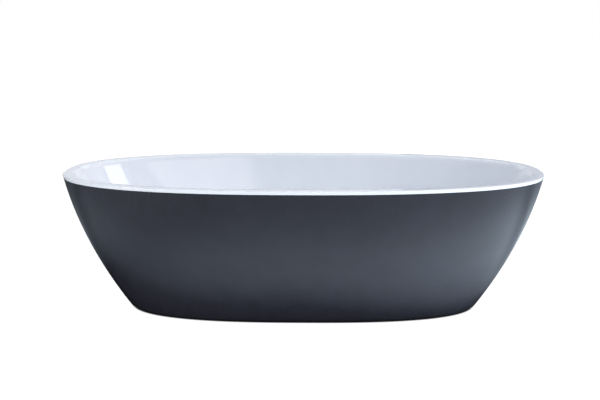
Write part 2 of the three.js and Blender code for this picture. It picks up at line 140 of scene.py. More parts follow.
def white_cast_acrylic():
    """Cast acrylic sheet, vacuum-formed and polished: a deep even gloss with a barely visible wave."""
    material, tree, shader, place = surface("white_cast_acrylic", IOR=1.49)
    clouds = add(tree, "ShaderNodeTexNoise", sized(place, 90)).outputs["Fac"]
    polish = add(tree, "ShaderNodeTexNoise", sized(place, 14)).outputs["Fac"]
    wave = add(tree, "ShaderNodeTexNoise", sized(place, 45)).outputs["Fac"]
    mottle(tree, shader, clouds, "#f0f3f9", "#f3f6fb")
    worn(tree, shader, polish, 0.04, 0.08)
    bumped(tree, shader, wave, 0.03, 0.5)
    return material


def satin_anthracite_acrylic():
    """Coloured acrylic with a satin finish: blue-grey charcoal with soft highlights and a fine grain."""
    material, tree, shader, place = surface("satin_anthracite_acrylic", IOR=1.49)
    clouds = add(tree, "ShaderNodeTexNoise", sized(place, 60)).outputs["Fac"]
    satin = add(tree, "ShaderNodeTexNoise", sized(place, 9)).outputs["Fac"]
    grain = add(tree, "ShaderNodeTexNoise", sized(place, 1.2)).outputs["Fac"]
    mottle(tree, shader, clouds, "#292931", "#2c2c35")
    worn(tree, shader, satin, 0.24, 0.34)
    bumped(tree, shader, grain, 0.04, 0.1)
    return material


def glass_fibre_backing():
    """Chopped glass strand rolled down in resin on the hidden side of a shell: milky, lumpy, half gloss."""
    material, tree, shader, place = surface("glass_fibre_backing", Roughness=0.42, IOR=1.55)
    strands = add(tree, "ShaderNodeTexVoronoi", sized(place, 9), feature="DISTANCE_TO_EDGE")
    lumps = add(tree, "ShaderNodeTexNoise", sized(place, 7, Detail=5.0)).outputs["Fac"]
    mottle(tree, shader, strands.outputs["Distance"], "#b9b6a6", "#d8d6ca", 0.0, 0.25)
    bumped(tree, shader, lumps, 0.7, 1.2)
    return material


def resin_coated_chipboard():
    """Chipboard sealed in clear resin: chips about 5 mm across, each of its own brown, under a skin."""
    material, tree, shader, place = surface("resin_coated_chipboard", IOR=1.54, Roughness=0.4)
    chips = add(tree, "ShaderNodeTexVoronoi", sized(place, 5))
    skin = add(tree, "ShaderNodeTexNoise", sized(place, 6, Detail=4.0)).outputs["Fac"]
    mottle(tree, shader, chips.outputs["Color"], "#967850", "#c9ad7c", 0.2, 0.8)
    bumped(tree, shader, skin, 0.4, 0.6)
    return material


def zinc_plated_steel():
    """Bright zinc plate on drawn steel: cool grey metal, cloudy where the bath left it."""
    material, tree, shader, place = surface("zinc_plated_steel", Metallic=1.0)
    clouds = add(tree, "ShaderNodeTexNoise", sized(place, 8, Detail=3.0)).outputs["Fac"]
    wear = add(tree, "ShaderNodeTexNoise", sized(place, 3, Detail=3.0)).outputs["Fac"]
    mottle(tree, shader, clouds, "#a7a9a8", "#c6c8c9")
    worn(tree, shader, wear, 0.25, 0.45)
    return material


def polished_chrome():
    """Chromium plate on polished brass: mirror-bright with the faintest water haze."""
    material, tree, shader, place = surface("polished_chrome", Metallic=1.0)
    clouds = add(tree, "ShaderNodeTexNoise", sized(place, 30)).outputs["Fac"]
    haze = add(tree, "ShaderNodeTexNoise", sized(place, 6, Detail=3.0)).outputs["Fac"]
    mottle(tree, shader, clouds, "#d3d6da", "#dde0e4")
    worn(tree, shader, haze, 0.03, 0.09)
    return material


def black_rubber():
    """Moulded rubber: near black, dull, with a fine grain."""
    material, tree, shader, place = surface("black_rubber", Roughness=0.75, IOR=1.52)
    bloom = add(tree, "ShaderNodeTexNoise", sized(place, 5, Detail=3.0)).outputs["Fac"]
    grain = add(tree, "ShaderNodeTexNoise", sized(place, 0.8)).outputs["Fac"]
    mottle(tree, shader, bloom, "#17171a", "#232326")
    bumped(tree, shader, grain, 0.3, 0.15)
    return material


def white_polypropylene():
    """Injection-moulded polypropylene: waxy white with a fine spark-eroded grain."""
    material, tree, shader, place = surface("white_polypropylene", Roughness=0.38, IOR=1.49)
    clouds = add(tree, "ShaderNodeTexNoise", sized(place, 25)).outputs["Fac"]
    grain = add(tree, "ShaderNodeTexNoise", sized(place, 0.9)).outputs["Fac"]
    mottle(tree, shader, clouds, "#dfdfda", "#e8e8e4")
    bumped(tree, shader, grain, 0.2, 0.1)
    return material


def grey_flexible_pvc():
    """Extruded soft PVC: mid grey, slightly waxy."""
    material, tree, shader, place = surface("grey_flexible_pvc", Roughness=0.42, IOR=1.53)
    clouds = add(tree, "ShaderNodeTexNoise", sized(place, 18)).outputs["Fac"]
    mottle(tree, shader, clouds, "#7f8387", "#8f9397")
    return material


WHITE_ACRYLIC = white_cast_acrylic()
ANTHRACITE_ACRYLIC = satin_anthracite_acrylic()
FIBRE_BACKING = glass_fibre_backing()
CHIPBOARD = resin_coated_chipboard()
ZINC_STEEL = zinc_plated_steel()
CHROME = polished_chrome()
RUBBER = black_rubber()
POLYPROPYLENE = white_polypropylene()
SOFT_PVC = grey_flexible_pvc()


# ---- Making pieces ----
def as_object(name, mesh, scale=MM):
    """An object from a closed bmesh, which is freed."""
    bmesh.ops.remove_doubles(mesh, verts=mesh.verts[:], dist=1e-3)
    bmesh.ops.recalc_face_normals(mesh, faces=mesh.faces[:])
    bmesh.ops.scale(mesh, vec=(scale,) * 3, verts=mesh.verts[:])
    data = bpy.data.meshes.new(name)
    mesh.to_mesh(data)
    mesh.free()
    made = bpy.data.objects.new(name, data)
    bpy.context.scene.collection.objects.link(made)
    return made


def piece(name, mesh, materials, replaced=None, body="tub", sharp_from=35):
    """A finished piece that rides on a body and stands for its CAD node."""
    made = as_object(name, mesh)
    made.data.shade_smooth()
    made.data.set_sharp_from_angle(angle=math.radians(sharp_from))
    for material in materials:
        made.data.materials.append(material)
    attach(made, body)
    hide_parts(replaced or name)
    return made


def combined(base, tool, operation):
    """One bmesh from two closed ones, by boolean."""
    base_object = as_object("base", base, 1)
    tool_object = as_object("tool", tool, 1)
    cut = base_object.modifiers.new("cut", "BOOLEAN")
    cut.operation = operation
    cut.solver = "EXACT"
    cut.object = tool_object
    graph = bpy.context.evaluated_depsgraph_get()
    result = bmesh.new()
    result.from_object(base_object, graph)
    for used in (base_object, tool_object):
        data = used.data
        bpy.data.objects.remove(used)
        bpy.data.meshes.remove(data)
    return result


def moved(mesh, matrix):
    bmesh.ops.transform(mesh, matrix=matrix, verts=mesh.verts[:])
    return mesh


def turned(profile, rounding=0.0, closed=False, steps=64):
    """A round piece about Z from [radius, height] points, its corners rounded."""
    mesh = bmesh.new()
    points = [mesh.verts.new((radius, 0, height)) for radius, height in profile]
    line = [mesh.edges.new(pair) for pair in zip(points, points[1:])]
    if closed:
        line.append(mesh.edges.new((points[-1], points[0])))
    if rounding:
        corners = points if closed else points[1:-1]
        bmesh.ops.bevel(
            mesh, geom=corners, offset=rounding, offset_type="OFFSET", segments=4, profile=0.5,
            affect="VERTICES", clamp_overlap=True, material=-1,
        )
    bmesh.ops.spin(
        mesh, geom=mesh.verts[:] + mesh.edges[:], cent=(0, 0, 0), axis=(0, 0, 1), angle=2 * math.pi,
        steps=steps, use_merge=True,
    )
    bmesh.ops.remove_doubles(mesh, verts=mesh.verts[:], dist=1e-3)
    return mesh


def ring(inner, outer, bottom, top, rounding=0.0, steps=64):
    return turned([(inner, bottom), (outer, bottom), (outer, top), (inner, top)], rounding, True, steps)


def bar(radius, bottom, top, rounding=0.0, steps=48):
    return turned([(0, bottom), (radius, bottom), (radius, top), (0, top)], rounding, False, steps)


def block(width, depth, height, x, y, z, rounding=0.0):
    mesh = bmesh.new()
    shape = Matrix.Translation((x, y, z)) @ Matrix.Diagonal((width, depth, height, 1))
    bmesh.ops.create_cube(mesh, size=1, matrix=shape)
    if rounding:
        bmesh.ops.bevel(
            mesh, geom=mesh.edges[:], offset=rounding, offset_type="OFFSET", segments=3, profile=0.5,
            affect="EDGES", material=-1,
        )
    return mesh


LAY_ALONG_Y = Matrix.Rotation(-math.pi / 2, 4, "X")


def along_y(mesh, z):
    """Lays a piece made about Z along +Y, at a height."""
    return moved(mesh, Matrix.Translation((0, 0, z)) @ LAY_ALONG_Y)


# ---- The oval shells ----
def outer_oval(z, grow=0.0, at=None):
    """The skirt's outer face at a height: half length, half width, ovalness, height."""
    rise = (z - SKIRT_OFF_FLOOR) / (HEIGHT - SKIRT_OFF_FLOOR)
    spread = rise * (1 + WALL_BULGE) - WALL_BULGE * rise * rise
    a = (BASE_LENGTH + (LENGTH - BASE_LENGTH) * spread) / 2
    b = (BASE_WIDTH + (WIDTH - BASE_WIDTH) * spread) / 2
    n = BASE_OVALNESS + (RIM_OVALNESS - BASE_OVALNESS) * rise
    return a + grow, b + grow, n, z if at is None else at


def inner_oval(share, grow=0.0, drop=0.0):
    """The basin's inner face: share 0 is the edge of the flat floor and 1 the inner edge of the rim."""
    a = FLOOR_LENGTH / 2 + (LENGTH / 2 - RIM_WIDTH - FLOOR_LENGTH / 2) * share
    b = FLOOR_WIDTH / 2 + (WIDTH / 2 - RIM_WIDTH - FLOOR_WIDTH / 2) * share
    return a + grow, b + grow, RIM_OVALNESS, FLOOR_TOP + (HEIGHT - FLOOR_TOP) * share**BASIN_CURVE - drop


def share_at(z):
    return ((z - FLOOR_TOP) / (HEIGHT - FLOOR_TOP)) ** (1 / BASIN_CURVE)


def circle(radius, z):
    return radius, radius, 2.0, z


def spaced(low, high, count):
    return [low + (high - low) * i / count for i in range(count + 1)]


def between(first, last, count):
    """Ovals that lead from one to another, both left out."""
    return [tuple(p + (q - p) * s for p, q in zip(first, last)) for s in spaced(0, 1, count)[1:-1]]


def corner_arc(centre_inset, centre_z, radius, start, end, count=5):
    """The rim's edge as an arc: pairs of how far to grow the outer oval and the height."""
    turns = [math.radians(a) for a in spaced(start, end, count)]
    return [(radius * math.cos(t) - centre_inset, centre_z + radius * math.sin(t)) for t in turns]


def oval_shell(rows, hidden_rows):
    """A closed shell from ovals listed up the outside and down the inside, ending at its first one.

    A strip of unit radius with a point for each oval is spun, and then each row takes its oval's shape.
    Faces between the two hidden rows get the second material.
    """
    mesh = bmesh.new()
    points = [mesh.verts.new((1, 0, i)) for i in range(len(rows))]
    line = [mesh.edges.new(pair) for pair in zip(points, points[1:])]
    bmesh.ops.spin(
        mesh, geom=points + line, cent=(0, 0, 0), axis=(0, 0, 1), angle=2 * math.pi,
        steps=SHELL_SEGMENTS, use_merge=True,
    )
    for face in mesh.faces:
        levels = [round(vert.co.z) for vert in face.verts]
        face.material_index = int(min(levels) >= hidden_rows[0] and max(levels) <= hidden_rows[1])
    for vert in mesh.verts:
        a, b, n, z = rows[round(vert.co.z)]
        along, across = vert.co.x, vert.co.y
        swell = (abs(along) ** n + abs(across) ** n) ** (-1 / n)
        vert.co = (a * along * swell, b * across * swell, z)
    bmesh.ops.remove_doubles(mesh, verts=mesh.verts[:], dist=1e-3)
    return mesh


OVERFLOW_HEIGHT, OVERFLOW_LEAN = 445, math.radians(14.9)
FACET_ALLOWANCE = 1.2
OVERFLOW_HOLE_RADIUS, DRAIN_HOLE_RADIUS = 26, 25
RIM_EDGE = 5


def overflow_place():
    """The overflow's own frame: +Z into the tub and +Y up the front wall."""
    inward = Vector((0, math.cos(OVERFLOW_LEAN), math.sin(OVERFLOW_LEAN)))
    upward = Vector((0, -math.sin(OVERFLOW_LEAN), math.cos(OVERFLOW_LEAN)))
    turn = Matrix((upward.cross(inward), upward, inward)).transposed().to_4x4()
    wall = inner_oval(share_at(OVERFLOW_HEIGHT))[1]
    return Matrix.Translation((0, FACET_ALLOWANCE - wall, OVERFLOW_HEIGHT)) @ turn


def basin():
    outside_top = share_at(RIM_UNDERSIDE + FLOOR_THICKNESS / 2)
    outside = []
    for step in spaced(0, 1, 40):
        drop = FLOOR_THICKNESS * (1 - step / 2)
        outside.append(inner_oval(outside_top * step, WALL_THICKNESS * step, drop))
    under_rim = [
        outer_oval(RIM_UNDERSIDE, -6),
        outer_oval(LIP_BOTTOM, -5),
        outer_oval(LIP_BOTTOM, -4.4, LIP_BOTTOM - 0.05),
        outer_oval(LIP_BOTTOM, -0.6, LIP_BOTTOM - 0.05),
    ]
    lip = [outer_oval(LIP_BOTTOM, 0, LIP_BOTTOM + 0.5), outer_oval(HEIGHT, 0, HEIGHT - 4)]
    outer_edge = [outer_oval(HEIGHT, grow, z) for grow, z in corner_arc(3, HEIGHT - 3, 3, 10, 90)]
    inner_edge = []
    for t in (math.radians(d) for d in (90, 70, 50, 32, 18)):
        inset = RIM_EDGE * (1 - math.cos(t)) - RIM_WIDTH
        inner_edge.append(outer_oval(HEIGHT, inset, HEIGHT - RIM_EDGE * (1 - math.sin(t))))
    inside = [inner_oval(share_at(HEIGHT - 5) * share) for share in spaced(1, 0, 56)]
    dish = [(200, 110, 2.2, FLOOR_TOP - 1.6)]
    drain = [
        circle(46, FLOOR_TOP - 2.6), circle(42, FLOOR_TOP - 3), circle(40, FLOOR_TOP - 3.6),
        circle(38.6, FLOOR_TOP - 5), circle(38, RECESS_TOP + 0.6), circle(37, RECESS_TOP),
        circle(DRAIN_HOLE_RADIUS, RECESS_TOP),
    ]
    hole = circle(DRAIN_HOLE_RADIUS, RECESS_UNDERSIDE)
    start = [hole, circle(46, RECESS_UNDERSIDE), circle(52, FLOOR_UNDERSIDE)]
    rows = start + between(start[-1], outside[0], 6) + outside + under_rim
    hidden = (0, len(rows) - 3)
    rows += lip + outer_edge + inner_edge + inside + between(inside[-1], dish[0], 8) + dish
    rows += between(dish[0], drain[0], 8) + drain + [hole]
    mesh = oval_shell(rows, hidden)
    overflow_hole = moved(bar(OVERFLOW_HOLE_RADIUS, -20, 20), overflow_place())
    return combined(mesh, overflow_hole, "DIFFERENCE")


SKIRT_THICKNESS, FOOT_ROUNDING, RETURN_FLANGE = 5, 12, 15


def skirt():
    top = LIP_BOTTOM - GAP
    foot = []
    for turn in (math.radians(d) for d in spaced(0, 90, 8)):
        height = SKIRT_OFF_FLOOR + FOOT_ROUNDING * (1 - math.cos(turn))
        foot.append(outer_oval(height, FOOT_ROUNDING * (math.sin(turn) - 1)))
    wall_bottom = SKIRT_OFF_FLOOR + FOOT_ROUNDING
    wall = [outer_oval(z) for z in spaced(wall_bottom, top - 0.6, 64)[1:]]
    tongue_bottom = LIP_BOTTOM - 12
    tongue_top = RIM_UNDERSIDE - GAP
    edge = [
        outer_oval(top, -0.6), outer_oval(top, -5.7), outer_oval(tongue_top, -6.6),
        outer_oval(tongue_top, -10.6), outer_oval(tongue_bottom, -9.7),
    ]
    inside = [outer_oval(z, -SKIRT_THICKNESS) for z in spaced(tongue_bottom - 6, wall_bottom + 2, 40)]
    flange_edge = -FOOT_ROUNDING - RETURN_FLANGE
    flange = [
        outer_oval(SKIRT_OFF_FLOOR, -FOOT_ROUNDING - 2, SKIRT_OFF_FLOOR + SKIRT_THICKNESS),
        outer_oval(SKIRT_OFF_FLOOR, flange_edge, SKIRT_OFF_FLOOR + SKIRT_THICKNESS),
        outer_oval(SKIRT_OFF_FLOOR, flange_edge),
    ]
    rows = foot + wall + edge + inside + flange + [foot[0]]
    first_hidden = len(foot) + len(wall) + 1
    return oval_shell(rows, (first_hidden, len(rows) - 3))


piece("basin_shell", basin(), [WHITE_ACRYLIC, FIBRE_BACKING], "basin")
piece("skirt_shell", skirt(), [ANTHRACITE_ACRYLIC, FIBRE_BACKING], "skirt")


# ---- Board, crossbars and screws ----
def both_ends():
    return [(side, end) for side in CROSSBAR_X for end in FOOT_Y]


def placed(mesh, x, y):
    """A copy of a mesh that was made about Z, moved to a place under the tub."""
    return moved(mesh.copy(), Matrix.Translation((x, y, 0)))


def hexagon(across_flats, bottom, top):
    """A hexagon head or nut blank with the round chamfer of a turned one at both ends."""
    corner_radius = across_flats / math.sqrt(3)
    mesh = bmesh.new()
    bmesh.ops.create_circle(mesh, cap_ends=True, segments=6, radius=corner_radius)
    raised = bmesh.ops.extrude_face_region(mesh, geom=mesh.faces[:])["geom"]
    lifted = [part for part in raised if isinstance(part, bmesh.types.BMVert)]
    bmesh.ops.translate(mesh, vec=(0, 0, top - bottom), verts=lifted)
    bmesh.ops.translate(mesh, vec=(0, 0, bottom), verts=mesh.verts[:])
    inset = corner_radius - 0.48 * across_flats
    drop = 0.55 * inset
    blank = turned(
        [
            (0, bottom), (corner_radius - inset, bottom), (corner_radius + 0.01, bottom + drop),
            (corner_radius + 0.01, top - drop), (corner_radius - inset, top), (0, top),
        ],
        steps=48,
    )
    return combined(mesh, blank, "INTERSECT")


def screw_thread(major, minor, pitch, bottom, top, steps=20):
    """A right-hand thread between two heights, closed at both ends."""
    turns = math.ceil((top - bottom) / pitch) + 2
    tooth = [(minor, 0), (major, 0.4 * pitch), (major, 0.55 * pitch), (minor, 0.95 * pitch), (minor, pitch)]
    mesh = bmesh.new()
    points = [mesh.verts.new((radius, 0, bottom - pitch + height)) for radius, height in tooth]
    line = [mesh.edges.new(pair) for pair in zip(points, points[1:])]
    bmesh.ops.spin(
        mesh, geom=points + line, cent=(0, 0, 0), axis=(0, 0, 1), angle=2 * math.pi * turns,
        dvec=(0, 0, pitch / steps), steps=steps * turns,
    )
    bmesh.ops.remove_doubles(mesh, verts=mesh.verts[:], dist=1e-3)
    for height, up in ((top, 1), (bottom, -1)):
        everything = mesh.verts[:] + mesh.edges[:] + mesh.faces[:]
        cut = bmesh.ops.bisect_plane(
            mesh, geom=everything, plane_co=(0, 0, height), plane_no=(0, 0, up), clear_outer=True,
        )
        rim = [part for part in cut["geom_cut"] if isinstance(part, bmesh.types.BMEdge)]
        bmesh.ops.edgeloop_fill(mesh, edges=rim)
    return mesh


def chipboard_base():
    """The board under the basin floor, with soft sanded edges and a hole for the waste."""
    half_length, half_width, corner = FLOOR_LENGTH / 2 - 12, FLOOR_WIDTH / 2 - 10, 60
    mesh = bmesh.new()
    bmesh.ops.create_grid(mesh, x_segments=1, y_segments=1, size=1)
    bmesh.ops.scale(mesh, vec=(half_length, half_width, 1), verts=mesh.verts[:])
    bmesh.ops.bevel(
        mesh, geom=mesh.verts[:], offset=corner, offset_type="OFFSET", segments=14, profile=0.5,
        affect="VERTICES", material=-1,
    )
    raised = bmesh.ops.extrude_face_region(mesh, geom=mesh.faces[:])["geom"]
    lifted = [part for part in raised if isinstance(part, bmesh.types.BMVert)]
    bmesh.ops.translate(mesh, vec=(0, 0, BOARD_THICKNESS), verts=lifted)
    bmesh.ops.translate(mesh, vec=(0, 0, BOARD_TOP - BOARD_THICKNESS), verts=mesh.verts[:])
    rims = [edge for edge in mesh.edges if abs(edge.verts[0].co.z - edge.verts[1].co.z) < 1]
    bmesh.ops.bevel(
        mesh, geom=rims, offset=1.2, offset_type="OFFSET", segments=3, profile=0.5, affect="EDGES",
        material=-1,
    )
    return combined(mesh, bar(60, BOARD_TOP - 30, BOARD_TOP + 10, steps=96), "DIFFERENCE")


def crossbar():
    """Square-cut box section with rounded long edges and its holes punched in the bottom wall."""
    middle, wall = CROSSBAR_BOTTOM + CROSSBAR_HEIGHT / 2, 1.5
    mesh = block(CROSSBAR_WIDTH, CROSSBAR_LENGTH, CROSSBAR_HEIGHT, 0, 0, middle)
    inside = block(
        CROSSBAR_WIDTH - 2 * wall, CROSSBAR_LENGTH + 10, CROSSBAR_HEIGHT - 2 * wall, 0, 0, middle,
    )
    for part, radius in ((mesh, 2.5), (inside, 1.0)):
        long_edges = [e for e in part.edges if abs(e.verts[0].co.y - e.verts[1].co.y) > 1]
        bmesh.ops.bevel(
            part, geom=long_edges, offset=radius, offset_type="OFFSET", segments=4, profile=0.5,
            affect="EDGES", material=-1,
        )
    mesh = combined(mesh, inside, "DIFFERENCE")
    for y in FOOT_Y.values():
        hole = placed(bar(STUD_RADIUS + 0.6, CROSSBAR_BOTTOM - 5, middle), 0, y)
        mesh = combined(mesh, hole, "DIFFERENCE")
    for y in SCREW_Y.values():
        hole = placed(bar(2.8, CROSSBAR_BOTTOM - 5, CROSSBAR_TOP + 5), 0, y)
        mesh = combined(mesh, hole, "DIFFERENCE")
    return mesh


def board_screw():
    """A flanged hexagon-head chipboard screw."""
    head_top, tip = CROSSBAR_BOTTOM - GAP, BOARD_TOP - 5
    head = hexagon(8, head_top - 3.5, head_top)
    collar = bar(5.2, head_top - 0.9, head_top, 0.25)
    shank = turned([(0, head_top - 1), (2.0, head_top - 1), (2.0, 90), (0.2, tip), (0, tip)])
    thread = screw_thread(2.4, 1.7, 1.8, 82, 91)
    return combined(combined(combined(head, collar, "UNION"), shank, "UNION"), thread, "UNION")


# ---- Levelling feet ----
NUT_ACROSS_FLATS, STUD_ACROSS_FLATS = 19, 17
WELD_NUT_HEIGHT, LOCK_NUT_HEIGHT = 10, 6
STUD_TOP, THREAD_BOTTOM = 76, 20


def nut(bottom, top):
    """A hexagon nut with its bore opened out at both ends, where the thread starts."""
    hole = STUD_RADIUS + 0.45
    wide = hole + 2.7
    bore = turned([
        (0, bottom - 2), (wide, bottom - 2), (hole, bottom + 0.7), (hole, top - 0.7), (wide, top + 2),
        (0, top + 2),
    ])
    return combined(hexagon(NUT_ACROSS_FLATS, bottom, top), bore, "DIFFERENCE")


def levelling_stud():
    """An M12 stud with a rolled thread, a spanner hexagon and a plain ball-nosed foot."""
    nose = turned([(0, 5.3), (3.6, 5.3), (4.4, 5.6), (STUD_RADIUS, 7.3), (STUD_RADIUS, 16), (0, 16)], 0.3)
    shank = screw_thread(STUD_RADIUS, STUD_RADIUS - 1.0, THREAD_PITCH, THREAD_BOTTOM, STUD_TOP - 1.4)
    top = STUD_TOP
    tip = turned([(0, top - 2), (5, top - 2), (5, top - 0.6), (4.4, top), (0, top)])
    blank = combined(hexagon(STUD_ACROSS_FLATS, 15, THREAD_BOTTOM + 1), nose, "UNION")
    return combined(combined(blank, shank, "UNION"), tip, "UNION")


def rubber_pad():
    """A moulded pad with a raised neck round the stud and grip rings underneath."""
    grip = []
    for inner in (4.0, 8.0, 12.0, 16.0):
        grip += [(inner, 0.8), (inner + 0.5, 0), (inner + 2.2, 0), (inner + 2.7, 0.8)]
    socket = STUD_RADIUS + 0.4
    body = [
        (19.5, 0.8), (20, 0), (22, 0), (22, 6), (19, 7.4), (12.5, 9.4), (12, 14), (socket, 14),
        (socket, 7.2), (4.4, 5), (0, 5),
    ]
    return turned([(0, 0.8)] + grip + body, 0.25, steps=96)


# ---- Waste, plug and trap ----
THROAT_RADIUS, TAIL_RADIUS = 20, 23.5
FLANGE_UNDERSIDE, FLANGE_TOP, SEAT_HEIGHT = 102.8, 105.5, 103.5
TAIL_BOTTOM, LEDGE_HEIGHT = 80.5, 77.7
STEM_RADIUS = 4
OUTLET_HEIGHT, HOSE_INLET_HEIGHT = 58, 60
SPIGOT_RADIUS, SPIGOT_BORE = 8.7, 7
HOSE_RADIUS, HOSE_BORE = 11, 9


def ribs_round(mesh, count, radius, width, proud, bottom, top):
    """Joins upright grip ribs on to a round piece about Z."""
    for i in range(count):
        rib = block(2 * proud, width, top - bottom, radius, 0, (bottom + top) / 2, 0.3)
        mesh = combined(mesh, moved(rib, Matrix.Rotation(2 * math.pi * i / count, 4, "Z")), "UNION")
    return mesh


def drain_flange():
    """The chromed drain flange: a dished rim, a tail and a cross of four arms with the plug's socket."""
    body = turned(
        [
            (THROAT_RADIUS, TAIL_BOTTOM), (TAIL_RADIUS, TAIL_BOTTOM), (TAIL_RADIUS, FLANGE_UNDERSIDE),
            (34.4, FLANGE_UNDERSIDE), (35, FLANGE_TOP - 1), (33.5, FLANGE_TOP), (27, FLANGE_TOP),
            (26.5, SEAT_HEIGHT), (THROAT_RADIUS, SEAT_HEIGHT),
        ],
        0.35, True, 128,
    )
    arm = block(2 * THROAT_RADIUS + 3, 3, 6, 0, 0, 87, 0.5)
    cross = combined(arm.copy(), moved(arm, Matrix.Rotation(math.pi / 2, 4, "Z")), "UNION")
    hub = combined(cross, bar(8, 84, 90, 0.6), "UNION")
    hub = combined(hub, bar(STEM_RADIUS + 0.4, 82, 92), "DIFFERENCE")
    return combined(body, hub, "UNION")


def plug_top():
    """The push-open plug's domed cap with a rolled edge."""
    under = FLANGE_TOP + GAP
    return turned(
        [
            (STEM_RADIUS + GAP, under - 5), (7, under - 5), (7, under), (30.6, under), (31.7, under + 0.3),
            (32, under + 1.1), (31.4, under + 2.2), (28, under + 3.4), (22, under + 4.3), (12, under + 5.2),
            (5, under + 5.5), (0, under + 5.6), (0, under - 1), (STEM_RADIUS + GAP, under - 1),
            (STEM_RADIUS + GAP, under - 5),
        ],
        0.3, steps=128,
    )


def trap_bowl():
    """The low trap's bowl with its outlet to the rear, the overflow's spigot to the front and grip ribs."""
    inner = TAIL_RADIUS + 0.4
    top = 91.9
    bowl = turned(
        [
            (0, 11), (35, 11), (40, 16), (40, 80), (30, 83), (30, 86), (38, 86), (38, top), (inner, top),
            (inner, LEDGE_HEIGHT), (22.4, LEDGE_HEIGHT), (22.4, 75), (36, 75), (36, 18), (32, 14), (0, 14),
        ],
        0.6, steps=96,
    )
    bowl = ribs_round(bowl, 10, 40, 3, 1.2, 20, 76)
    outlet = along_y(turned([(0, 38), (16.5, 38), (16.5, 86), (15.6, 88), (0, 88)]), OUTLET_HEIGHT)
    spigot = along_y(bar(SPIGOT_RADIUS, -72, -23, 0.5), HOSE_INLET_HEIGHT)
    bowl = combined(combined(bowl, outlet, "UNION"), spigot, "UNION")
    bowl = combined(bowl, along_y(bar(14, 30, 95), OUTLET_HEIGHT), "DIFFERENCE")
    return combined(bowl, along_y(bar(SPIGOT_BORE, -80, -22), HOSE_INLET_HEIGHT), "DIFFERENCE")


def dip_tube():
    tube = turned(
        [
            (19.5, 20), (22, 20), (22, LEDGE_HEIGHT + GAP), (23.5, LEDGE_HEIGHT + GAP),
            (23.5, TAIL_BOTTOM - GAP), (19.5, TAIL_BOTTOM - GAP),
        ],
        0.3, True, 96,
    )
    return combined(tube, along_y(bar(SPIGOT_BORE, -40, -10), HOSE_INLET_HEIGHT), "DIFFERENCE")


def ribbed_outlet_nut():
    """The hand nut on the trap's outlet."""
    shell = turned([(17, 78), (22, 78), (22, 100), (14.4, 100), (14.4, 97), (17, 97)], 0.5, True, 96)
    return along_y(ribs_round(shell, 16, 21.8, 2.4, 1.1, 79.5, 98.5), OUTLET_HEIGHT)


# ---- Overflow, in its own frame ----
SEAL_THICKNESS = 2.5
WALL_BACK = -8
ELBOW_FACE = WALL_BACK - SEAL_THICKNESS - GAP
ELBOW_BACK = ELBOW_FACE - 22
SPIGOT_DEPTH = ELBOW_FACE - 12
WALL_FACE = GAP - FACET_ALLOWANCE
SCREW_HOLE_RADIUS = 3.4


def local_spigot(radius, start, end):
    """A bar that leaves the elbow downwards, along the overflow's -Y."""
    lay = Matrix.Translation((0, 0, SPIGOT_DEPTH)) @ Matrix.Rotation(math.pi / 2, 4, "X")
    return moved(bar(radius, start, end, 0.4), lay)


def overflow_rosette():
    """The round overflow cover: a shallow dome that stands on the wall, with its inlet at the bottom."""
    dome = turned(
        [
            (31, WALL_FACE), (34, WALL_FACE), (34, 5.6), (33.4, 7), (31, 8.8), (20, 9.6), (0, 10), (0, 7.6),
            (30, 6.6), (31, 5), (31, WALL_FACE),
        ],
        0.35, steps=128,
    )
    dome = combined(dome, bar(SCREW_HOLE_RADIUS, 5, 15), "DIFFERENCE")
    slot = block(34, 12, 4.6 - WALL_FACE, 0, -33, (4.6 + WALL_FACE) / 2, 1.0)
    return moved(combined(dome, slot, "DIFFERENCE"), overflow_place())


def rosette_screw():
    """A domed screw with a cross recess that pulls the cover against the elbow's bridge."""
    tip = ELBOW_FACE - 7
    body = turned([(0, tip), (3, tip), (3, 10.3), (6, 10.3), (5.6, 12), (3, 12.9), (0, 13)], 0.2)
    for turn in (0, math.pi / 2):
        cut = block(5.4, 1.1, 3, 0, 0, 13, 0.2)
        body = combined(body, moved(cut, Matrix.Rotation(turn, 4, "Z")), "DIFFERENCE")
    return moved(body, overflow_place())


def elbow_cup():
    cup = turned(
        [
            (0, ELBOW_BACK), (25, ELBOW_BACK), (27, ELBOW_BACK + 3), (27, ELBOW_FACE - 3),
            (34, ELBOW_FACE - 3), (34, ELBOW_FACE), (24, ELBOW_FACE), (24, ELBOW_BACK + 5),
            (22, ELBOW_BACK + 3), (0, ELBOW_BACK + 3),
        ],
        0.5, steps=80,
    )
    cup = combined(cup, block(49, 10, 6, 0, 0, ELBOW_FACE - 5, 0.5), "UNION")
    cup = combined(cup, local_spigot(SPIGOT_RADIUS, 25, 58), "UNION")
    cup = combined(cup, local_spigot(SPIGOT_BORE, 15, 63), "DIFFERENCE")
    screw_hole = bar(SCREW_HOLE_RADIUS, ELBOW_FACE - 12, ELBOW_FACE)
    return moved(combined(cup, screw_hole, "DIFFERENCE"), overflow_place())


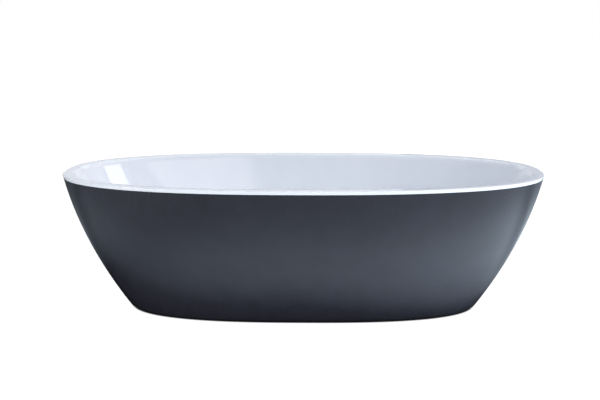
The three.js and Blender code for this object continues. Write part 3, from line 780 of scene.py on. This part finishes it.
# ---- Overflow hose ----
def hose_route():
    """The hose's middle line from the elbow's spigot down between the shells to the trap.

    It is a centripetal curve through knots, so it doesn't swing out where they are close together.
    """
    place = overflow_place()
    knots = [place @ Vector((0, y, SPIGOT_DEPTH)) for y in (-42, -74)]
    knots += [
        Vector((0, -347, 290)), Vector((0, -320, 210)), Vector((0, -283, 140)), Vector((0, -216, 84)),
        Vector((0, -140, 62)), Vector((0, -90, HOSE_INLET_HEIGHT)), Vector((0, -46, HOSE_INLET_HEIGHT)),
    ]
    ends = [2 * knots[0] - knots[1]] + knots + [2 * knots[-1] - knots[-2]]
    route = []
    for before, start, finish, after in zip(ends, ends[1:], ends[2:], ends[3:]):
        spans = (before, start), (start, finish), (finish, after)
        one, two, three = [math.sqrt((b - a).length) for a, b in spans]
        leaving = (start - before) / one - (finish - before) / (one + two) + (finish - start) / two
        arriving = (finish - start) / two - (after - start) / (two + three) + (after - finish) / three
        handles = start + leaving * two / 3, finish - arriving * two / 3
        route += interpolate_bezier(start, *handles, finish, 40)[:-1]
    return route + [knots[-1]]


def ribbed_hose():
    """A corrugated hose, made straight about Z and then laid along its route, which stays in one plane."""
    route = hose_route()
    lengths = [0.0]
    for start, finish in zip(route, route[1:]):
        lengths.append(lengths[-1] + (finish - start).length)
    whole, cuff, rib = lengths[-1], 24, 4.5
    outside = [(HOSE_RADIUS, 0), (HOSE_RADIUS, cuff)]
    count = int((whole - 2 * cuff) / rib)
    step = (whole - 2 * cuff) / count
    for i in range(count):
        at = cuff + step * i
        outside += [
            (HOSE_RADIUS - 1.3, at + 0.25 * step), (HOSE_RADIUS - 1.3, at + 0.5 * step),
            (HOSE_RADIUS, at + 0.72 * step), (HOSE_RADIUS, at + step),
        ]
    outside += [(HOSE_RADIUS, whole)]
    inside = [(HOSE_BORE, whole * (1 - i / 60)) for i in range(61)]
    mesh = turned(outside + inside, closed=True, steps=32)
    for vert in mesh.verts:
        index = min(bisect.bisect_right(lengths, vert.co.z), len(lengths) - 1) - 1
        start, finish = route[index], route[index + 1]
        ahead = (finish - start).normalized()
        middle = start + ahead * (vert.co.z - lengths[index])
        vert.co = middle + Vector((vert.co.x, 0, 0)) + ahead.cross(Vector((1, 0, 0))) * vert.co.y
    return mesh


def hose_clip(bottom):
    """A worm-drive clip: a band with its housing and worm screw standing proud."""
    band = ring(HOSE_RADIUS + 0.5, HOSE_RADIUS + 1.5, bottom, bottom + 9, 0.2)
    housing = block(6, 11, 8, HOSE_RADIUS + 4, 0, bottom + 4.5, 0.8)
    band = combined(band, housing, "UNION")
    worm_place = Matrix.Translation((HOSE_RADIUS + 4.4, 0, bottom + 4.5))
    worm = moved(bar(2.6, -9, 9, 0.3), worm_place @ LAY_ALONG_Y)
    return combined(band, worm, "UNION")


piece("chipboard_base", chipboard_base(), [CHIPBOARD], "base_board")
bar_mesh, screw_mesh, stud_mesh, pad_mesh = crossbar(), board_screw(), levelling_stud(), rubber_pad()
weld_nut_top = CROSSBAR_BOTTOM - GAP
weld_nut_mesh = nut(weld_nut_top - WELD_NUT_HEIGHT, weld_nut_top)
lock_nut_top = weld_nut_top - WELD_NUT_HEIGHT - GAP
lock_nut_mesh = nut(lock_nut_top - LOCK_NUT_HEIGHT, lock_nut_top)
for side, x in CROSSBAR_X.items():
    piece(f"box_section_{side}", placed(bar_mesh, x, 0), [ZINC_STEEL], f"crossbar_{side}")
for side, end in both_ends():
    x, y, at = CROSSBAR_X[side], FOOT_Y[end], f"{side}_{end}"
    screw = placed(screw_mesh, x, SCREW_Y[end])
    piece(f"flanged_screw_{at}", screw, [ZINC_STEEL], f"board_screw_{at}")
    piece(f"fixed_nut_{at}", placed(weld_nut_mesh, x, y), [ZINC_STEEL], f"weld_nut_{at}")
    piece(f"locking_nut_{at}", placed(lock_nut_mesh, x, y), [ZINC_STEEL], f"lock_nut_{at}")
    stud = placed(stud_mesh, x, y)
    piece(f"threaded_stud_{at}", stud, [ZINC_STEEL], f"foot_stud_{at}", f"stud_{at}")
    pad = placed(pad_mesh, x, y)
    piece(f"rubber_pad_{at}", pad, [RUBBER], f"foot_pad_{at}", f"pad_{at}")
for used in (bar_mesh, screw_mesh, stud_mesh, pad_mesh, weld_nut_mesh, lock_nut_mesh):
    used.free()

upper_seal = ring(24.2, 34, RECESS_TOP + GAP, RECESS_TOP + GAP + 1.2, 0.3, 96)
lower_seal = ring(24.2, 37, RECESS_UNDERSIDE - GAP - SEAL_THICKNESS, RECESS_UNDERSIDE - GAP, 0.5, 96)
piece("drain_flange", drain_flange(), [CHROME], "waste_flange")
piece("drain_upper_washer", upper_seal, [RUBBER], "waste_upper_seal")
piece("drain_lower_washer", lower_seal, [RUBBER], "waste_lower_seal")
piece("plug_top", plug_top(), [CHROME], "plug_cap", "plug")
plug_washer = ring(21, 26, SEAT_HEIGHT + GAP, FLANGE_TOP, 0.4, 96)
piece("plug_washer", plug_washer, [RUBBER], "plug_seal", "plug")
piece("plug_rod", bar(STEM_RADIUS, 82, FLANGE_TOP - 1.2, 0.6), [CHROME], "plug_stem", "plug")
piece("trap_bowl", trap_bowl(), [POLYPROPYLENE], "trap_body")
piece("dip_tube", dip_tube(), [SOFT_PVC], "trap_dip_tube")
piece("ribbed_outlet_nut", ribbed_outlet_nut(), [POLYPROPYLENE], "outlet_nut")
outlet_washer = along_y(ring(14.4, 16.4, 88.4, 96.6, 0.3), OUTLET_HEIGHT)
piece("outlet_washer", outlet_washer, [RUBBER], "outlet_seal")
piece("overflow_rosette", overflow_rosette(), [CHROME], "overflow_cover")
piece("rosette_screw", rosette_screw(), [CHROME], "overflow_screw")
overflow_washer = moved(ring(24, 33, WALL_BACK - SEAL_THICKNESS, WALL_BACK, 0.4, 80), overflow_place())
piece("overflow_washer", overflow_washer, [RUBBER], "overflow_seal")
piece("elbow_cup", elbow_cup(), [POLYPROPYLENE], "overflow_elbow")
piece("ribbed_hose", ribbed_hose(), [SOFT_PVC], "overflow_hose")
lower_clip = along_y(hose_clip(-63), HOSE_INLET_HEIGHT)
piece("worm_clip_lower", lower_clip, [ZINC_STEEL], "hose_clip_lower")
upper_lay = overflow_place() @ Matrix.Translation((0, 0, SPIGOT_DEPTH)) @ LAY_ALONG_Y
piece("worm_clip_upper", moved(hose_clip(-56), upper_lay), [ZINC_STEEL], "hose_clip_upper")


# ---- Stage, light and camera ----
def as_stage(name, mesh):
    """A stage object from a bmesh in metres, which is freed."""
    data = bpy.data.meshes.new(name)
    mesh.to_mesh(data)
    mesh.free()
    made = bpy.data.objects.new(name, data)
    bpy.context.scene.collection.objects.link(made)
    return made


FLOOR_RADIUS = 40
SEEN_FLOOR_Z, PAINTED_LIGHT_FLOOR_Z = -0.0002, -0.0005


def stage_floor(name, z, seen_by_camera):
    """A plain floor; gives its shader. One floor is what the camera sees, the other lights the tub."""
    mesh = bmesh.new()
    bmesh.ops.create_circle(mesh, cap_ends=True, segments=64, radius=FLOOR_RADIUS)
    bmesh.ops.translate(mesh, vec=(0, 0, z), verts=mesh.verts[:])
    floor = as_stage(name, mesh)
    floor.visible_camera = seen_by_camera
    floor.visible_diffuse = not seen_by_camera
    floor.visible_glossy = not seen_by_camera
    floor.visible_transmission = not seen_by_camera
    floor.visible_shadow = False
    material, tree, shader, place = surface(name, Roughness=1.0, Specular_IOR_Level=0.0)
    floor.data.materials.append(material)
    return tree, shader, place


def graph(tree, value, points):
    """A level from 0 to 1 that follows a value through (value, level) points."""
    low, high = points[0][0], points[-1][0]
    share = add(tree, "ShaderNodeMapRange", {"Value": value, "From Min": low, "From Max": high})
    curve = add(tree, "ShaderNodeFloatCurve", {"Value": share.outputs["Result"]})
    line = curve.mapping.curves[0].points
    line[0].location, line[1].location = (0, points[0][1]), (1, points[-1][1])
    for at, level in points[1:-1]:
        line.new((at - low) / (high - low), level)
    curve.mapping.update()
    return curve.outputs["Value"]


def pale_floor():
    """What the camera sees: an even white floor."""
    _, shader, _ = stage_floor("floor_seen", SEEN_FLOOR_Z, True)
    shader.inputs["Base Color"].default_value = linear("#5c5c5c")
    shader.inputs["Emission Color"].default_value = (1, 1, 1, 1)
    shader.inputs["Emission Strength"].default_value = 1.0


def contact_shade(name, inset, z, colour):
    """A painted contact shadow: a dark oval on the floor under the tub, which shows as a thin line under
    the skirt's edge.
    """
    mesh = bmesh.new()
    bmesh.ops.create_circle(mesh, cap_ends=True, segments=SHELL_SEGMENTS, radius=1)
    a, b, n, _ = outer_oval(SKIRT_OFF_FLOOR, -inset)
    for vert in mesh.verts:
        swell = MM * (abs(vert.co.x) ** n + abs(vert.co.y) ** n) ** (-1 / n)
        vert.co = (a * vert.co.x * swell, b * vert.co.y * swell, z)
    shade = as_stage(name, mesh)
    shade.visible_diffuse = shade.visible_glossy = shade.visible_shadow = False
    material, _, shader, _ = surface(name, Roughness=1.0, Specular_IOR_Level=0.0)
    shader.inputs["Base Color"].default_value = (0, 0, 0, 1)
    shader.inputs["Emission Color"].default_value = linear(colour)
    shader.inputs["Emission Strength"].default_value = 1.0
    shade.data.materials.append(material)


def painted_light_floor():
    """What lights and reflects in the tub: a glowing floor with a painted ring of light round it, painted
    shadow under it, and painted light that grows brighter to the right.

    The light falls off with the distance from the tub, counted across it, and changes along X and Y.
    """
    tree, shader, place = stage_floor("floor_painted_bounce", PAINTED_LIGHT_FLOOR_Z, False)
    shader.inputs["Base Color"].default_value = (0, 0, 0, 1)
    shader.inputs["Emission Color"].default_value = linear("#dff1ff")
    round_off = {0: place, 1: (BASE_WIDTH / BASE_LENGTH, 1, 0), 2: (POOL_SHIFT, 0, 0)}
    flat = add(tree, "ShaderNodeVectorMath", round_off, operation="MULTIPLY_ADD").outputs["Vector"]
    out = add(tree, "ShaderNodeVectorMath", {0: flat}, operation="LENGTH").outputs["Value"]
    pool = graph(tree, out, FLOOR_POOL)
    sides = add(tree, "ShaderNodeSeparateXYZ", {"Vector": place}).outputs
    gain = graph(tree, sides["X"], FLOOR_GAIN)
    front = graph(tree, sides["Y"], FLOOR_FRONT)
    level = add(tree, "ShaderNodeMath", {0: pool, 1: gain}, operation="MULTIPLY").outputs["Value"]
    level = add(tree, "ShaderNodeMath", {0: level, 1: front}, operation="MULTIPLY").outputs["Value"]
    glow = add(tree, "ShaderNodeMath", {0: level, 1: FLOOR_GLOW}, operation="MULTIPLY").outputs["Value"]
    tree.links.new(glow, shader.inputs["Emission Strength"])


# The painted light on the floor: pairs of a distance in metres and a level.
FLOOR_GLOW = 3.3
POOL_SHIFT = 0.05
FLOOR_POOL = [
    (0, 0), (0.29, 0), (0.33, 0.02), (0.37, 0.24), (0.45, 0.74), (0.54, 0.98), (0.64, 0.95), (0.76, 0.68),
    (0.91, 0.48), (1.07, 0.34), (1.25, 0.24), (1.8, 0.18), (2.5, 0.15),
]
# Along X the painted light grows towards the right; along Y it dims to 0.3 under the tub's rear half, a
# painted shadow.
FLOOR_GAIN = [
    (-2.0, 0.22), (-1.2, 0.21), (-0.8, 0.18), (-0.55, 0.25), (-0.28, 0.315), (0, 0.36), (0.25, 0.415),
    (0.53, 0.56), (0.8, 0.72), (1.05, 0.82), (1.3, 0.93), (1.6, 0.98), (2.0, 0.95),
]
FLOOR_FRONT = [(-3.0, 1.0), (-0.2, 1.0), (-0.05, 0.8), (0.2, 0.3), (0.35, 0.3), (0.55, 0.9), (3.0, 1.0)]


def panel(name, place, target, size, power):
    """A rectangular soft white light that faces a target; its size is in metres and its power in watts."""
    light = bpy.data.lights.new(name, "AREA")
    light.shape = "RECTANGLE"
    light.size, light.size_y = size
    light.energy = power
    holder = bpy.data.objects.new(name, light)
    holder.location = place
    holder.rotation_euler = (Vector(target) - Vector(place)).to_track_quat("-Z", "Y").to_euler()
    holder.visible_camera = False
    bpy.context.scene.collection.objects.link(holder)


def studio_world():
    """A pale surround: white to the camera and a dim cool ambient light to the tub."""
    world = bpy.data.worlds.new("studio")
    bpy.context.scene.world = world
    world.use_nodes = True
    tree = world.node_tree
    tree.nodes.clear()
    seen = add(tree, "ShaderNodeBackground", {"Color": (1, 1, 1, 1), "Strength": 1.0})
    ambient = add(tree, "ShaderNodeBackground", {"Color": linear("#d6e2f6"), "Strength": 0.3})
    ray = add(tree, "ShaderNodeLightPath").outputs["Is Camera Ray"]
    mix = add(tree, "ShaderNodeMixShader", {0: ray, 1: ambient.outputs[0], 2: seen.outputs[0]})
    add(tree, "ShaderNodeOutputWorld", {"Surface": mix.outputs[0]})


def camera():
    data = bpy.data.cameras.new("camera")
    data.lens, data.sensor_width = 52.88, 36
    view = bpy.data.objects.new("camera", data)
    view.location = (0.0272, -3.3, 1.094)
    pitch, yaw = 0.2077, 0.0116
    forward = Vector((-math.sin(yaw) * math.cos(pitch), math.cos(yaw) * math.cos(pitch), -math.sin(pitch)))
    view.rotation_euler = forward.to_track_quat("-Z", "Y").to_euler()
    bpy.context.scene.collection.objects.link(view)
    bpy.context.scene.camera = view


pale_floor()
# Painted contact shadow under the skirt: a near-black oval with a slightly wider grey one round it.
contact_shade("contact_shade", 6, SEEN_FLOOR_Z / 2, "#1a1a1d")
contact_shade("contact_half_shade", 1, SEEN_FLOOR_Z * 0.75, "#c4c4c6")
painted_light_floor()
studio_world()
panel("key", (1.82, -4.6, 2.2), (1.82, 0, 2.2), (3.4, 2.2), 48)
panel("overhead", (0, 0.3, 3.0), (0, 0, 0), (3.5, 2.5), 40)
panel("right_side", (3.6, -0.6, 2.0), (-0.4, 0, 0.4), (2.0, 1.8), 60)
panel("low_front", (0, -4.3, 0.3), (0, 0, 0.3), (5.0, 0.42), 48)
panel("low_left", (-3.0, -2.8, 0.3), (-0.8, -0.3, 0.35), (1.6, 0.4), 50)
panel("low_right", (3.3, -2.0, 0.3), (0.8, -0.2, 0.25), (1.4, 0.5), 12)
panel("low_rear", (0, 4.3, 0.3), (0, 0, 0.3), (5.0, 0.42), 45)
panel("rear_wide", (-1.9, 5.0, 1.55), (-1.9, 0, 1.55), (5.6, 1.3), 13)
panel("rear_left", (-3.0, 5.0, 1.55), (-3.0, 0, 1.55), (3.8, 1.3), 20)
panel("rear_high", (0, 3.4, 2.6), (0, -0.4, 0.5), (4.0, 1.2), 20)
camera()
bpy.context.scene.view_settings.view_transform = "Standard"
